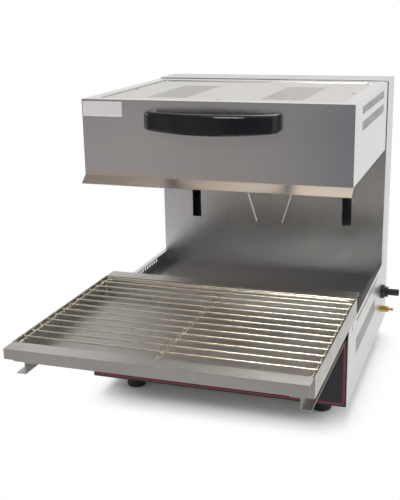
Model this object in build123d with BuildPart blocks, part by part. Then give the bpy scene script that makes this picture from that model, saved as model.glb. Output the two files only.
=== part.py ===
from build123d import *
from math import sqrt
import os

# Lift-type electric salamander (cheese melter), rise-and-fall head, drawn-out drip tray and rack.
# Millimetres. +X is the operator's right, -Y the front, +Z up.
# Origin: on the counter, at the centre of the base's footprint.

# ---- cabinet: base and column -------------------------------------------------------------------
body_width = 450.0
body_depth = 450.0
body_height = 526.0
foot_height = 38.0
base_height = 133.0
column_depth = 81.0
sheet = 1.2
slide_flange = 8.5
deck_drop = 25.0
panel_gap = 19.0
return_flange = 14.0
deck_turn = 5.0
cap_lip = 9.0
stop_slot_width = 4.0
stop_slot_height = 10.0
stop_slot_setback = 32.0
seat_clearance = 0.3

# ---- ventilation slots --------------------------------------------------------------------------
vent_pitch = 12.0
vent_width = 6.0
vent_row_centre_y = -28.0
vent_count = 20
base_low_vent_count = 18
base_low_vent_centre_y = -44.0
base_high_vent_height = 7.0
base_high_vent_drop = 10.5
base_low_vent_height = 28.0
base_low_vent_drop = 56.0
head_high_vent_height = 12.5
head_high_vent_drop = 17.5
head_low_vent_height = 15.0
head_low_vent_drop = 42.5
cover_vent_length = 70.0
cover_vent_width = 4.0
cover_vent_count = 16
cover_vent_spread = 195.0
cover_vent_centre_y = -65.0
air_slot_length = 60.0
air_slot_width = 5.0
air_slot_count = 8
air_slot_spread = 200.0

# ---- feet ---------------------------------------------------------------------------------------
foot_spacing_x = 342.0
foot_spacing_y = 320.0
foot_top_diameter = 38.0
foot_bottom_diameter = 33.0
foot_edge_radius = 3.5
foot_recess_depth = 20.0
foot_recess_diameter = 18.0
foot_screw_diameter = 6.0
foot_nut_height = 5.0
foot_nut_width = 10.0

# ---- head ---------------------------------------------------------------------------------------
head_width = 448.0
head_height = 125.5
head_front_setback = 7.6
head_top_drop = 1.5
head_rear_gap = 7.0
head_flange = 21.0
head_rear_flange = 29.0
cover_recess = 1.8
cover_ledge = 20.0
lip_reach = 15.3
lip_fall = 12.0
lift_travel = 150.0

handle_length = 222.0
handle_bow = 40.0
handle_end_reach = 22.0
handle_thickness = 16.0
handle_height = 33.0
handle_end_height = 28.0
handle_corner_radius = 10.0
handle_rounding = 5.0
handle_drop = 30.0
handle_screw_diameter = 5.0
handle_screw_head = 10.0
handle_screw_depth = 10.0

reflector_seat = 3.0
reflector_rise = 36.0
reflector_rim = 10.0
reflector_slope = 30.0
insulation_thickness = 24.0
element_diameter = 8.0
element_height = 15.0
element_pass_pitch = 34.0
element_length = 330.0
element_spacing = 150.0
element_passes = 4
element_terminal_height = 52.0
hanger_width = 12.0
hanger_thickness = 2.0
hanger_spacing = 220.0
hanger_margin = 4.0
mount_plate_thickness = 3.0
mount_plate_width = 380.0

# ---- lift mechanism -----------------------------------------------------------------------------
slot_width = 18.0
slot_spacing = 308.0
slot_bottom_height = 245.0
arm_width = 12.0
arm_height = 70.0
arm_bottom_rise = 11.0
carriage_gap = 20.0
carriage_end_margin = 2.0
carriage_thickness = 2.5
carriage_lip = 12.0
carriage_margin = 5.0
guide_rod_diameter = 12.0
guide_rod_offset = 34.0
guide_running_clearance = 0.05
bush_diameter = 20.0
block_width = 30.0
block_wall = 3.0
block_height = 50.0
bracket_thickness = 4.0
bracket_width = 28.0
bracket_upstand = 24.0
bracket_margin = 4.0
bracket_side_clearance = 10.8
lower_bracket_rise = 20.0
upper_bracket_drop = 22.0
collar_diameter = 24.0
collar_height = 12.0
spring_spacing = 180.0
spring_tube_diameter = 18.0
spring_tube_bore = 14.0
spring_rod_diameter = 8.0
spring_piston_height = 10.0
spring_piston_play = 1.0
spring_end_wall = 3.0
spring_gland_length = 6.0
spring_top_margin = 14.0
spring_anchor_rise = 8.0
arm_bolt_diameter = 6.0
arm_bolt_head = 10.0
arm_bolt_head_height = 4.0
arm_bolt_spacing = 40.0
stop_rod_diameter = 3.0
stop_rod_standoff = 0.6
stop_rod_top_spacing = 106.0
stop_rod_bottom_spacing = 54.0
stop_rod_top_height = 330.0
stop_rod_bottom_height = 244.0

# ---- tray ---------------------------------------------------------------------------------------
tray_pan_depth = 332.0
tray_front_flange = 27.0
tray_rear_flange = 28.0
tray_height = 30.7
tray_lip = 16.0
tray_overhang = 22.0
tray_travel = 265.0
tray_sheet = 1.2
tray_rear_return = 8.0
runner_panel_clearance = 0.8
runner_flange = 14.0
runner_edge_clearance = 9.5
runner_top_flange = 16.0
runner_tab_length = 16.0
runner_tab_clearance = 0.4

# ---- wire rack ----------------------------------------------------------------------------------
rack_wall_gap = 1.8
rack_rod_diameter = 4.0
rack_wire_diameter = 3.0
rack_wire_count = 13
rack_corner_radius = 9.0
rack_wire_overhang = 1.5
rack_centre_rod_spacing = 5.0
rack_weld_depth = 0.4
rack_leg_inset = 10.0
rack_top_drop = 0.5

# ---- controls and electrical --------------------------------------------------------------------
fascia_thickness = 1.2
border_width = 3.5
border_inset = 2.5
border_depth = 0.5
border_corner_radius = 7.0
control_height = 98.0
knob_x = 70.0
knob_diameter = 42.0
knob_skirt_height = 5.0
knob_grip_diameter = 30.0
knob_height = 22.0
knob_grip_width = 9.0
knob_face_gap = 0.5
shaft_diameter = 6.0
shaft_hole_diameter = 9.0
regulator_width = 44.0
regulator_depth = 32.0
switch_x = -110.0
switch_width = 32.0
switch_height = 24.0
switch_bezel = 3.0
switch_bezel_rise = 2.0
switch_wall = 1.5
switch_body_depth = 26.0
rocker_gap = 0.6
rocker_tilt = 8.0
rocker_pivot_depth = 1.0
rocker_rim = 3.7
rocker_valley = 1.8
lamp_spacing = 34.0
lamp_x = -30.0
lamp_diameter = 10.0
lamp_bezel = 14.0
lamp_bezel_height = 1.6
lamp_rise = 3.0
lamp_depth = 18.0
terminal_length = 60.0
terminal_width = 22.0
terminal_height = 24.0
terminal_poles = 3
terminal_x = 130.0

gland_y = 155.0
gland_height = 113.0
gland_flange_diameter = 27.0
gland_flange_thickness = 7.0
gland_edge_radius = 2.5
gland_hex_width = 18.0
gland_hex_length = 6.0
gland_sleeve_diameter = 13.0
gland_sleeve_length = 21.0
gland_thread_diameter = 16.0
gland_thread_length = 9.0
gland_bore_diameter = 9.0
locknut_width = 24.0
locknut_thickness = 4.0
stud_y = 158.0
stud_height = 76.0
stud_diameter = 6.0
stud_reach = 24.0
stud_inner_length = 9.0
stud_nut_width = 11.0
stud_nut_thickness = 6.0
stud_washer_diameter = 13.0
stud_washer_thickness = 1.5

screw_diameter = 4.0
screw_head_diameter = 7.0
screw_head_height = 2.2
screw_reach = 5.0
cover_screw_edge = 10.0
cover_side_screw_y = -55.0

# ---- places worked out from the sizes above -----------------------------------------------------
half_width = body_width / 2
front_y = -body_depth / 2
rear_y = body_depth / 2
base_top = foot_height + base_height
deck_top = base_top - deck_drop
panel_top = base_top - panel_gap
column_y = rear_y - column_depth
inner_half = half_width - sheet

head_half = head_width / 2
head_top = body_height - head_top_drop
head_bottom = head_top - head_height
head_front = front_y + head_front_setback
head_rear = column_y - head_rear_gap
cover_top = head_top - cover_recess
cover_half = head_half - head_flange

cover_front = head_front + head_flange
cover_rear = head_rear - head_rear_flange

arm_bottom = head_bottom + arm_bottom_rise
arm_top = arm_bottom + arm_height
arm_middle = arm_bottom + arm_height / 2
carriage_y = column_y + carriage_gap
carriage_back = carriage_y + carriage_thickness
carriage_bottom = arm_bottom - carriage_margin
carriage_top = arm_top + carriage_margin
guide_x = inner_half - return_flange - bracket_side_clearance - bracket_width / 2
guide_y = rear_y - guide_rod_offset
carriage_half = guide_x + block_width / 2 + carriage_end_margin
block_bottom = arm_middle - block_height / 2
block_top = arm_middle + block_height / 2
mount_plate_front = head_rear - sheet - mount_plate_thickness

reflector_mouth = head_bottom + reflector_seat
reflector_roof = reflector_mouth + reflector_rise
element_axis = reflector_mouth + element_height
hot_centre_y = (head_front + head_rear) / 2

tray_bottom = base_top + seat_clearance
tray_top = tray_bottom + tray_height
tray_front = front_y - tray_overhang - tray_travel
pan_front = tray_front + tray_front_flange
pan_rear = pan_front + tray_pan_depth
tray_rear = pan_rear + tray_rear_flange
pan_floor = tray_bottom + tray_sheet

runner_bottom = panel_top + runner_panel_clearance
runner_web = half_width - slide_flange - runner_edge_clearance

fascia_y = front_y + fascia_thickness
panel_back_y = fascia_y + sheet


os.makedirs("parts", exist_ok=True)


def save(builder, name):
    """Label one finished piece and write it under its own name."""
    builder.part.label = name
    export_step(builder.part, f"parts/{name}.step")


def across(y):
    """The upright plane facing the operator, at depth y."""
    return Plane.XZ.offset(-y)


def bent(plane, points, thickness):
    """Section of a sheet bent along points, its thickness on the left of their direction."""
    with BuildSketch(plane) as section:
        with BuildLine():
            Polyline(*points)
            offset(amount=thickness, side=Side.LEFT, kind=Kind.INTERSECTION)
        make_face()
    return section.sketch


def box_sketch(plane, low, high):
    """Rectangle on a plane between two opposite corners."""
    with BuildSketch(plane) as section:
        with Locations(((low[0] + high[0]) / 2, (low[1] + high[1]) / 2)):
            Rectangle(abs(high[0] - low[0]), abs(high[1] - low[1]))
    return section.sketch


def slot_row(plane, centre, count, width, height):
    """A row of upright slots at the vent pitch."""
    with BuildSketch(plane) as row:
        with Locations(centre):
            with GridLocations(vent_pitch, 0, count, 1):
                Rectangle(width, height)
    return row.sketch


# ---- side panels: one L-shaped sheet each, folded in at the base top, column front, rear and floor
def side_panel(side):
    wall = Plane.YZ.offset(side * half_width)
    inward = -side
    with BuildPart() as panel:
        with BuildSketch(wall):
            with BuildLine():
                Polyline(
                    (front_y, foot_height),
                    (rear_y, foot_height),
                    (rear_y, body_height - sheet),
                    (column_y, body_height - sheet),
                    (column_y, base_top),
                    (front_y, base_top),
                    close=True,
                )
            make_face()
        extrude(amount=inward * sheet)
        slide = box_sketch(wall, (front_y, base_top - sheet), (column_y, base_top))
        extrude(slide, amount=inward * slide_flange)
        column_return = box_sketch(
            wall, (column_y + sheet, base_top), (column_y + 2 * sheet, body_height - sheet)
        )
        extrude(column_return, amount=inward * return_flange)
        rear_return = box_sketch(
            wall, (rear_y - 2 * sheet, foot_height + sheet), (rear_y - sheet, body_height - sheet)
        )
        extrude(rear_return, amount=inward * return_flange)
        floor_return = box_sketch(
            wall,
            (panel_back_y + return_flange, foot_height + sheet),
            (rear_y - 2 * sheet, foot_height + 2 * sheet),
        )
        extrude(floor_return, amount=inward * return_flange)
        high = slot_row(
            wall,
            (vent_row_centre_y, base_top - base_high_vent_drop),
            vent_count,
            vent_width,
            base_high_vent_height,
        )
        extrude(high, amount=inward * sheet, mode=Mode.SUBTRACT)
        low = slot_row(
            wall,
            (base_low_vent_centre_y, base_top - base_low_vent_drop),
            base_low_vent_count,
            vent_width,
            base_low_vent_height,
        )
        extrude(low, amount=inward * sheet, mode=Mode.SUBTRACT)
        stop_slot_y = front_y + stop_slot_setback
        stop_slot = box_sketch(
            wall,
            (stop_slot_y - stop_slot_width / 2, base_top - 2 * sheet - stop_slot_height),
            (stop_slot_y + stop_slot_width / 2, base_top - 2 * sheet),
        )
        extrude(stop_slot, amount=inward * sheet, mode=Mode.SUBTRACT)
        if side > 0:
            with BuildSketch(wall):
                with Locations((gland_y, gland_height)):
                    Circle(gland_thread_diameter / 2)
                with Locations((stud_y, stud_height)):
                    Circle(stud_diameter / 2)
            extrude(amount=inward * sheet, mode=Mode.SUBTRACT)
    return panel


side_panel_right = side_panel(1)
save(side_panel_right, "side_panel_right")
side_panel_left = side_panel(-1)
save(side_panel_left, "side_panel_left")

# ---- bottom plate: closes the base, holed for the feet and for cooling air
with BuildPart() as bottom_plate:
    floor_depth = rear_y - sheet - fascia_y
    floor_centre_y = fascia_y + floor_depth / 2
    with BuildSketch(Plane.XY.offset(foot_height)):
        with Locations((0, floor_centre_y)):
            Rectangle(2 * inner_half, floor_depth)
        with GridLocations(foot_spacing_x, foot_spacing_y, 2, 2):
            Circle(foot_screw_diameter / 2, mode=Mode.SUBTRACT)
        with GridLocations(0, 2 * vent_pitch, 1, air_slot_count):
            Rectangle(air_slot_length, air_slot_width, mode=Mode.SUBTRACT)
    extrude(amount=sheet)
save(bottom_plate, "bottom_plate")

# ---- feet: turned rubber cups, recessed below for the screw head
with BuildPart() as foot:
    with BuildSketch(Plane.XZ):
        with BuildLine():
            Polyline(
                (foot_screw_diameter / 2, foot_height),
                (foot_top_diameter / 2, foot_height),
                (foot_bottom_diameter / 2, 0),
                (foot_recess_diameter / 2, 0),
                (foot_recess_diameter / 2, foot_recess_depth),
                (foot_screw_diameter / 2, foot_recess_depth),
                close=True,
            )
        make_face()
    revolve(axis=Axis.Z)
    outer_rim = foot.edges().filter_by(GeomType.CIRCLE).group_by(Axis.Z)[0].sort_by(SortBy.RADIUS)[-1]
    fillet(outer_rim, radius=foot_edge_radius)

with BuildPart() as feet:
    with GridLocations(foot_spacing_x, foot_spacing_y, 2, 2):
        add(foot.part)
save(feet, "feet")

with BuildPart() as foot_screws:
    with BuildSketch(Plane.XY.offset(foot_recess_depth)):
        with GridLocations(foot_spacing_x, foot_spacing_y, 2, 2):
            Circle(foot_screw_diameter / 2)
    extrude(amount=foot_height + sheet + foot_nut_height - foot_recess_depth)
    with BuildSketch(Plane.XY.offset(foot_recess_depth - screw_head_height)):
        with GridLocations(foot_spacing_x, foot_spacing_y, 2, 2):
            Circle(foot_nut_width / 2)
    extrude(amount=screw_head_height)
    with BuildSketch(Plane.XY.offset(foot_height + sheet)):
        with GridLocations(foot_spacing_x, foot_spacing_y, 2, 2):
            RegularPolygon(foot_nut_width / 2, 6, major_radius=False)
    extrude(amount=foot_nut_height)
save(foot_screws, "foot_screws")

# ---- deck: the sheet under the tray, turned up behind the control panel and down along the sides
with BuildPart() as deck_plate:
    deck_front = panel_back_y
    deck = bent(
        Plane.YZ.offset(-inner_half),
        [
            (deck_front, panel_top - sheet),
            (deck_front, deck_top - sheet),
            (column_y + sheet, deck_top - sheet),
        ],
        sheet,
    )
    extrude(deck, amount=2 * inner_half)
    for side in (-1, 1):
        turn_down = box_sketch(
            across(deck_front),
            (side * inner_half, deck_top - sheet - deck_turn),
            (side * (inner_half - sheet), deck_top - sheet),
        )
        extrude(turn_down, amount=-(column_y - deck_front))
save(deck_plate, "deck_plate")

# ---- control panel: sheet backing, black fascia plate and the inlaid coloured border line
panel_centre_z = (foot_height + panel_top) / 2
panel_height = panel_top - foot_height
lamp_places = [(lamp_x - lamp_spacing / 2, control_height), (lamp_x + lamp_spacing / 2, control_height)]


def panel_cutouts(plane):
    """Openings for the regulator shaft, rocker switch and pilot lamps."""
    with BuildSketch(plane) as cutouts:
        with Locations((knob_x, control_height)):
            Circle(shaft_hole_diameter / 2)
        with Locations((switch_x, control_height)):
            Rectangle(switch_width - 2 * switch_bezel, switch_height - 2 * switch_bezel)
        with Locations(*lamp_places):
            Circle(lamp_diameter / 2)
    return cutouts.sketch


with BuildPart() as front_panel:
    backing = bent(
        Plane.YZ.offset(-inner_half),
        [
            (panel_back_y + return_flange, panel_top),
            (fascia_y, panel_top),
            (fascia_y, foot_height + sheet),
            (panel_back_y + return_flange, foot_height + sheet),
        ],
        sheet,
    )
    extrude(backing, amount=2 * inner_half)
    extrude(panel_cutouts(across(fascia_y)), amount=-sheet, mode=Mode.SUBTRACT)
save(front_panel, "front_panel")

with BuildPart() as control_fascia:
    with BuildSketch(across(front_y)):
        with Locations((0, panel_centre_z)):
            Rectangle(2 * inner_half, panel_height)
    extrude(amount=-fascia_thickness)
    with BuildSketch(across(front_y)) as groove:
        with Locations((0, panel_centre_z)):
            RectangleRounded(
                2 * (inner_half - border_inset), panel_height - 2 * border_inset, border_corner_radius
            )
            RectangleRounded(
                2 * (inner_half - border_inset - border_width),
                panel_height - 2 * (border_inset + border_width),
                border_corner_radius - border_width,
                mode=Mode.SUBTRACT,
            )
    extrude(amount=-border_depth, mode=Mode.SUBTRACT)
    extrude(panel_cutouts(across(front_y)), amount=-fascia_thickness, mode=Mode.SUBTRACT)
save(control_fascia, "control_fascia")

with BuildPart() as fascia_border:
    extrude(groove.sketch, amount=-border_depth)
save(fascia_border, "fascia_border")

# ---- column: slotted front panel, rear cover with air slots, and the cap
with BuildPart() as back_panel:
    with BuildSketch(across(column_y)):
        with Locations((0, (deck_top + body_height - sheet) / 2)):
            Rectangle(2 * inner_half, body_height - sheet - deck_top)
        slot_top = arm_top + arm_bottom_rise
        with Locations((0, (slot_bottom_height + slot_top) / 2)):
            with GridLocations(slot_spacing, 0, 2, 1):
                Rectangle(slot_width, slot_top - slot_bottom_height, mode=Mode.SUBTRACT)
    extrude(amount=-sheet)
save(back_panel, "back_panel")

with BuildPart() as rear_panel:
    with BuildSketch(across(rear_y)):
        with Locations((0, (foot_height + body_height - sheet) / 2)):
            Rectangle(2 * inner_half, body_height - sheet - foot_height)
        for row_height in (deck_top - panel_gap, head_bottom):
            with Locations((0, row_height)):
                with GridLocations(air_slot_spread, vent_pitch, 2, air_slot_count):
                    Rectangle(air_slot_length, air_slot_width, mode=Mode.SUBTRACT)
    extrude(amount=sheet)
save(rear_panel, "rear_panel")

with BuildPart() as column_cap:
    cap = bent(
        Plane.YZ.offset(-half_width),
        [
            (rear_y, body_height),
            (column_y - sheet, body_height),
            (column_y - sheet, body_height - cap_lip),
        ],
        sheet,
    )
    extrude(cap, amount=body_width)
save(column_cap, "column_cap")


# ---- lift rods: slim wires on the column front, their ends turned back into the panel
rod_line_y = column_y - stop_rod_standoff - stop_rod_diameter / 2
with BuildPart() as panel_rods:
    for side in (-1, 1):
        top_x = side * stop_rod_top_spacing / 2
        bottom_x = side * stop_rod_bottom_spacing / 2
        with BuildLine() as rod_path:
            FilletPolyline(
                (top_x, column_y, stop_rod_top_height),
                (top_x, rod_line_y, stop_rod_top_height),
                (bottom_x, rod_line_y, stop_rod_bottom_height),
                (bottom_x, column_y, stop_rod_bottom_height),
                radius=stop_rod_diameter / 2 + stop_rod_standoff / 2,
            )
        with BuildSketch(Plane(origin=(top_x, column_y, stop_rod_top_height), z_dir=(0, -1, 0))):
            Circle(stop_rod_diameter / 2)
        sweep(path=rod_path.line)
save(panel_rods, "panel_rods")

# ---- guide rods, their brackets on the rear cover and the collars that stop the travel
lower_bracket = foot_height + lower_bracket_rise
upper_bracket = body_height - upper_bracket_drop
with BuildPart() as guide_rods:
    with BuildSketch(Plane.XY.offset(lower_bracket)):
        with Locations((-guide_x, guide_y), (guide_x, guide_y)):
            Circle(guide_rod_diameter / 2)
    extrude(amount=upper_bracket - lower_bracket)
save(guide_rods, "guide_rods")

with BuildPart() as rod_brackets:
    for side in (-1, 1):
        plane = Plane.YZ.offset(side * guide_x - bracket_width / 2)
        reach = guide_y - guide_rod_diameter / 2 - bracket_margin
        lower = bent(
            plane,
            [
                (reach, lower_bracket),
                (rear_y - sheet, lower_bracket),
                (rear_y - sheet, lower_bracket + bracket_upstand),
            ],
            bracket_thickness,
        )
        extrude(lower, amount=bracket_width)
        upper = bent(
            plane,
            [
                (rear_y - sheet, upper_bracket - bracket_upstand),
                (rear_y - sheet, upper_bracket),
                (reach, upper_bracket),
            ],
            bracket_thickness,
        )
        extrude(upper, amount=bracket_width)
    with BuildSketch(Plane.XY.offset(lower_bracket)):
        with Locations((-guide_x, guide_y), (guide_x, guide_y)):
            Circle(guide_rod_diameter / 2)
    extrude(amount=upper_bracket - lower_bracket, mode=Mode.SUBTRACT)
save(rod_brackets, "rod_brackets")

with BuildPart() as stop_collars:
    collar_bottoms = (
        block_top + seat_clearance,
        block_bottom - lift_travel - seat_clearance - collar_height,
    )
    for collar_bottom in collar_bottoms:
        with BuildSketch(Plane.XY.offset(collar_bottom)):
            with Locations((-guide_x, guide_y), (guide_x, guide_y)):
                Circle(collar_diameter / 2)
                Circle(guide_rod_diameter / 2, mode=Mode.SUBTRACT)
        extrude(amount=collar_height)
save(stop_collars, "stop_collars")

# ---- gas springs: cylinders stand on the rear cover, rods hang from the carriage
spring_x = spring_spacing / 2
spring_top = carriage_bottom - lift_travel - spring_top_margin
piston_top = spring_top - spring_gland_length - spring_piston_play
piston_bottom = piston_top - spring_piston_height
spring_floor = piston_bottom - lift_travel - spring_piston_play
spring_bottom = spring_floor - spring_end_wall
with BuildPart() as spring_cylinders:
    with BuildSketch(Plane.XY.offset(spring_bottom)):
        with Locations((-spring_x, guide_y), (spring_x, guide_y)):
            Circle(spring_tube_diameter / 2)
    extrude(amount=spring_top - spring_bottom)
    with BuildSketch(Plane.XY.offset(spring_floor)):
        with Locations((-spring_x, guide_y), (spring_x, guide_y)):
            Circle(spring_tube_bore / 2)
    extrude(amount=spring_top - spring_gland_length - spring_floor, mode=Mode.SUBTRACT)
    with BuildSketch(Plane.XY.offset(spring_floor)):
        with Locations((-spring_x, guide_y), (spring_x, guide_y)):
            Circle(spring_rod_diameter / 2 + guide_running_clearance)
    extrude(amount=spring_top - spring_floor, mode=Mode.SUBTRACT)
save(spring_cylinders, "spring_cylinders")

with BuildPart() as spring_brackets:
    for side in (-1, 1):
        foot_section = bent(
            Plane.YZ.offset(side * spring_x - bracket_width / 2),
            [
                (guide_y - spring_tube_diameter / 2 - bracket_margin, spring_bottom - bracket_thickness),
                (rear_y - sheet, spring_bottom - bracket_thickness),
                (rear_y - sheet, spring_bottom + bracket_upstand),
            ],
            bracket_thickness,
        )
        extrude(foot_section, amount=bracket_width)
save(spring_brackets, "spring_brackets")

spring_anchor = carriage_bottom + spring_anchor_rise
with BuildPart() as spring_rods:
    with BuildSketch(Plane.XY.offset(piston_bottom)):
        with Locations((-spring_x, guide_y), (spring_x, guide_y)):
            Circle(spring_rod_diameter / 2)
    extrude(amount=spring_anchor - piston_bottom)
    with BuildSketch(Plane.XY.offset(piston_bottom)):
        with Locations((-spring_x, guide_y), (spring_x, guide_y)):
            Circle(spring_tube_bore / 2 - guide_running_clearance)
    extrude(amount=spring_piston_height)
save(spring_rods, "spring_rods")

# ---- carriage: folded cross member that joins both lift arms and rides on the guide rods
arm_x = slot_spacing / 2
arm_bolt_heights = (arm_middle - arm_bolt_spacing / 2, arm_middle + arm_bolt_spacing / 2)
arm_bolt_places = [(side * arm_x, height) for side in (-1, 1) for height in arm_bolt_heights]


def arm_bolt_holes(y):
    """Bolt holes of both arms, drawn on the upright plane at depth y."""
    with BuildSketch(across(y)) as holes:
        with Locations(*arm_bolt_places):
            Circle(arm_bolt_diameter / 2)
    return holes.sketch


with BuildPart() as lift_carriage:
    channel = bent(
        Plane.YZ.offset(-carriage_half),
        [
            (carriage_back + carriage_lip, carriage_top),
            (carriage_y, carriage_top),
            (carriage_y, carriage_bottom),
            (carriage_back + carriage_lip, carriage_bottom),
        ],
        carriage_thickness,
    )
    extrude(channel, amount=2 * carriage_half)
    extrude(arm_bolt_holes(carriage_y), amount=-carriage_thickness, mode=Mode.SUBTRACT)
save(lift_carriage, "lift_carriage")

with BuildPart() as lift_arms:
    with BuildSketch(across(head_rear)):
        with Locations((-arm_x, arm_middle), (arm_x, arm_middle)):
            Rectangle(arm_width, arm_height)
    extrude(amount=-(carriage_y - head_rear))
    extrude(arm_bolt_holes(head_rear), amount=-(carriage_y - head_rear), mode=Mode.SUBTRACT)
save(lift_arms, "lift_arms")

with BuildPart() as arm_bolts:
    shank_end = carriage_back + arm_bolt_head_height
    extrude(arm_bolt_holes(mount_plate_front), amount=-(shank_end - mount_plate_front))
    with BuildSketch(across(mount_plate_front)):
        with Locations(*arm_bolt_places):
            RegularPolygon(arm_bolt_head / 2, 6, major_radius=False)
    extrude(amount=arm_bolt_head_height)
    with BuildSketch(across(carriage_back)):
        with Locations(*arm_bolt_places):
            RegularPolygon(arm_bolt_head / 2, 6, major_radius=False)
    extrude(amount=-arm_bolt_head_height)
save(arm_bolts, "arm_bolts")

with BuildPart() as guide_blocks:
    block_rear = guide_y + bush_diameter / 2 + block_wall
    with BuildSketch(Plane.XY.offset(block_bottom)):
        with Locations(
            (-guide_x, (carriage_back + block_rear) / 2), (guide_x, (carriage_back + block_rear) / 2)
        ):
            Rectangle(block_width, block_rear - carriage_back)
        with Locations((-guide_x, guide_y), (guide_x, guide_y)):
            Circle(bush_diameter / 2, mode=Mode.SUBTRACT)
    extrude(amount=block_height)
save(guide_blocks, "guide_blocks")

with BuildPart() as guide_bushes:
    with BuildSketch(Plane.XY.offset(block_bottom)):
        with Locations((-guide_x, guide_y), (guide_x, guide_y)):
            Circle(bush_diameter / 2)
            Circle(guide_rod_diameter / 2 + guide_running_clearance, mode=Mode.SUBTRACT)
    extrude(amount=block_height)
save(guide_bushes, "guide_bushes")

with BuildPart() as spring_anchors:
    for side in (-1, 1):
        anchor_section = bent(
            Plane.YZ.offset(side * spring_x - bracket_width / 2),
            [
                (carriage_back, spring_anchor + bracket_upstand),
                (carriage_back, spring_anchor),
                (guide_y + spring_rod_diameter / 2 + bracket_margin, spring_anchor),
            ],
            bracket_thickness,
        )
        extrude(anchor_section, amount=bracket_width)
save(spring_anchors, "spring_anchors")

# ---- head: folded shell with a joggled rim for the cover, angled front lip and side vents
handle_centre = head_top - handle_drop
handle_screw_x = (handle_length - handle_thickness) / 2
handle_screw_places = [(-handle_screw_x, handle_centre), (handle_screw_x, handle_centre)]
cover_screw_x = cover_half - cover_screw_edge
cover_screw_places = [
    (0, cover_front + cover_screw_edge),
    (0, cover_rear - cover_screw_edge),
    (-cover_screw_x, cover_side_screw_y),
    (cover_screw_x, cover_side_screw_y),
    (-cover_screw_x, cover_rear - cover_screw_edge),
    (cover_screw_x, cover_rear - cover_screw_edge),
]


def rim(height, outer, inner, rear_outer, rear_inner):
    """Rectangular ring around the head at a height, between insets from its outer faces."""
    with BuildSketch(Plane.XY.offset(height)) as ring:
        for inset, rear_inset, mode in ((outer, rear_outer, Mode.ADD), (inner, rear_inner, Mode.SUBTRACT)):
            ring_front = head_front + inset
            ring_rear = head_rear - rear_inset
            with Locations((0, (ring_front + ring_rear) / 2)):
                Rectangle(head_width - 2 * inset, ring_rear - ring_front, mode=mode)
    return ring.sketch


with BuildPart() as head_shell:
    extrude(rim(head_bottom, 0, sheet, 0, sheet), amount=head_height)
    extrude(rim(head_top - sheet, 0, head_flange, 0, head_rear_flange), amount=sheet)
    joggle = rim(
        cover_top - 2 * sheet,
        head_flange - sheet,
        head_flange,
        head_rear_flange - sheet,
        head_rear_flange,
    )
    extrude(joggle, amount=head_top - cover_top + 2 * sheet)
    ledge = rim(
        cover_top - 2 * sheet,
        head_flange - sheet,
        head_flange + cover_ledge,
        head_rear_flange - sheet,
        head_rear_flange + cover_ledge,
    )
    extrude(ledge, amount=sheet)
    with BuildSketch(Plane.XY.offset(cover_top - 2 * sheet)):
        with Locations(*cover_screw_places):
            Circle(screw_diameter / 2)
    extrude(amount=sheet, mode=Mode.SUBTRACT)
    lip_section = bent(
        Plane.YZ.offset(-head_half),
        [(head_front, head_bottom), (head_front - lip_reach, head_bottom - lip_fall)],
        sheet,
    )
    extrude(lip_section, amount=head_width)
    lip_root = box_sketch(
        Plane.YZ.offset(-head_half),
        (head_front, head_bottom),
        (head_front + sheet, head_bottom - sheet),
    )
    extrude(lip_root, amount=head_width)
    for side in (-1, 1):
        wall = Plane.YZ.offset(side * head_half)
        high = slot_row(
            wall,
            (vent_row_centre_y, head_top - head_high_vent_drop),
            vent_count,
            vent_width,
            head_high_vent_height,
        )
        extrude(high, amount=-side * sheet, mode=Mode.SUBTRACT)
        low = slot_row(
            wall,
            (vent_row_centre_y, head_top - head_low_vent_drop),
            vent_count,
            vent_width,
            head_low_vent_height,
        )
        extrude(low, amount=-side * sheet, mode=Mode.SUBTRACT)
    extrude(arm_bolt_holes(head_rear - sheet), amount=-sheet, mode=Mode.SUBTRACT)
    with BuildSketch(across(head_front)):
        with Locations(*handle_screw_places):
            Circle(handle_screw_diameter / 2)
    extrude(amount=-sheet, mode=Mode.SUBTRACT)
save(head_shell, "head_shell")

with BuildPart() as head_cover:
    with BuildSketch(Plane.XY.offset(cover_top - sheet)):
        with Locations((0, (cover_front + cover_rear) / 2)):
            Rectangle(2 * (cover_half - seat_clearance), cover_rear - cover_front - 2 * seat_clearance)
        with Locations((0, cover_vent_centre_y)):
            with GridLocations(cover_vent_spread, vent_pitch, 2, cover_vent_count):
                Rectangle(cover_vent_length, cover_vent_width, mode=Mode.SUBTRACT)
        with Locations(*cover_screw_places):
            Circle(screw_diameter / 2, mode=Mode.SUBTRACT)
    extrude(amount=sheet)
save(head_cover, "head_cover")

with BuildPart() as cover_screws:
    with BuildSketch(Plane.XY.offset(cover_top)):
        with Locations(*cover_screw_places):
            Circle(screw_head_diameter / 2)
    extrude(amount=head_top - cover_top)
    with BuildSketch(Plane.XY.offset(cover_top - screw_reach)):
        with Locations(*cover_screw_places):
            Circle(screw_diameter / 2)
    extrude(amount=screw_reach)
save(cover_screws, "cover_screws")

with BuildPart() as mount_plate:
    with BuildSketch(across(mount_plate_front)):
        with Locations((0, arm_middle)):
            Rectangle(mount_plate_width, arm_height)
    extrude(amount=-mount_plate_thickness)
    extrude(arm_bolt_holes(mount_plate_front), amount=-mount_plate_thickness, mode=Mode.SUBTRACT)
save(mount_plate, "mount_plate")

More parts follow.
